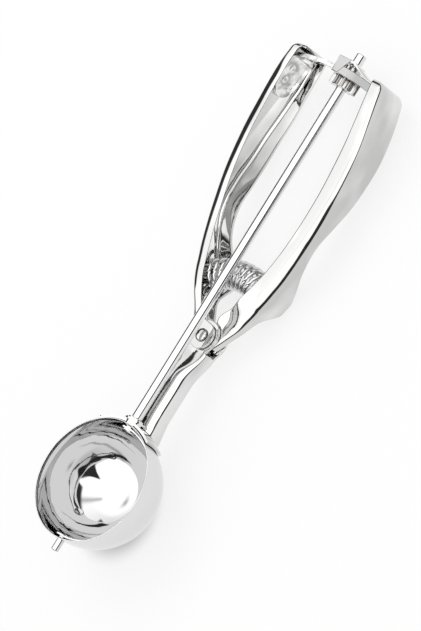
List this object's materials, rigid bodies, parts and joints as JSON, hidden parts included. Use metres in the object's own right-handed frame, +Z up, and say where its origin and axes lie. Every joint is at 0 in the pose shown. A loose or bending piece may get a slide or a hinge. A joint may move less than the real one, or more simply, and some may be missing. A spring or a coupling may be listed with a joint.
{
  "type": "scissor ice cream scoop",
  "caption": "All-steel squeeze ice cream scoop: a half-ball bowl with a sweeping blade, turned through a rack, pinion and long shaft by two sprung handles.",
  "frame": {"origin": "centre of the bounding box in plan, on the table the tool lies on", "axes": "+Y from the bowl to the handle ends, +Z up out of the bowl's mouth, +X towards the fixed handle"},
  "size_m": [0.0596, 0.2241, 0.0315],
  "materials": {
    "bowl_steel": "mirror polished",
    "neck_saddle_steel": "polished",
    "neck_steel": "polished",
    "fixed_handle_steel": "mirror polished",
    "hinge_rivet_steel": "polished",
    "hinge_spacer_steel": "plain turned",
    "shaft_bushing_steel": "plain turned",
    "blade_pivot_pin_steel": "polished",
    "bearing_bracket_steel": "polished",
    "spring_peg_right_steel": "plain turned",
    "return_spring_steel": "drawn spring wire",
    "lever_handle_steel": "mirror polished",
    "rack_steel": "satin",
    "spring_peg_left_steel": "plain turned",
    "drive_shaft_steel": "polished rod",
    "pinion_steel": "satin cast",
    "scraper_blade_steel": "polished"
  },
  "bodies": {
    "frame": {"bowl": "bowl_steel", "neck_saddle": "neck_saddle_steel", "neck": "neck_steel", "fixed_handle": "fixed_handle_steel", "hinge_rivet": "hinge_rivet_steel", "hinge_spacer": "hinge_spacer_steel", "shaft_bushing": "shaft_bushing_steel", "blade_pivot_pin": "blade_pivot_pin_steel", "bearing_bracket": "bearing_bracket_steel", "spring_peg_right": "spring_peg_right_steel", "return_spring": "return_spring_steel"},
    "lever": {"lever_handle": "lever_handle_steel", "rack": "rack_steel", "spring_peg_left": "spring_peg_left_steel"},
    "shaft": {"drive_shaft": "drive_shaft_steel", "pinion": "pinion_steel", "scraper_blade": "scraper_blade_steel"}
  },
  "joints": [
    {"name": "squeeze", "type": "hinge", "parent": "frame", "child": "lever", "pos_m": [0, -0.01259, 0.00906], "axis": [0, -0.0753, -0.9972], "range_deg": [0, 7.19], "stiffness_Nm_per_rad": 1.8, "springref_deg": -20.05, "deforming": ["return_spring"]},
    {"name": "shaft_turn", "type": "hinge", "parent": "frame", "child": "shaft", "pos_m": [0, -0.08152, 0.0258], "axis": [0, 0.9972, -0.0753], "range_deg": [0, 160]}
  ],
  "couplings": [
    {"joint": "shaft_turn", "follows": "squeeze", "ratio": 22.248}
  ]
}
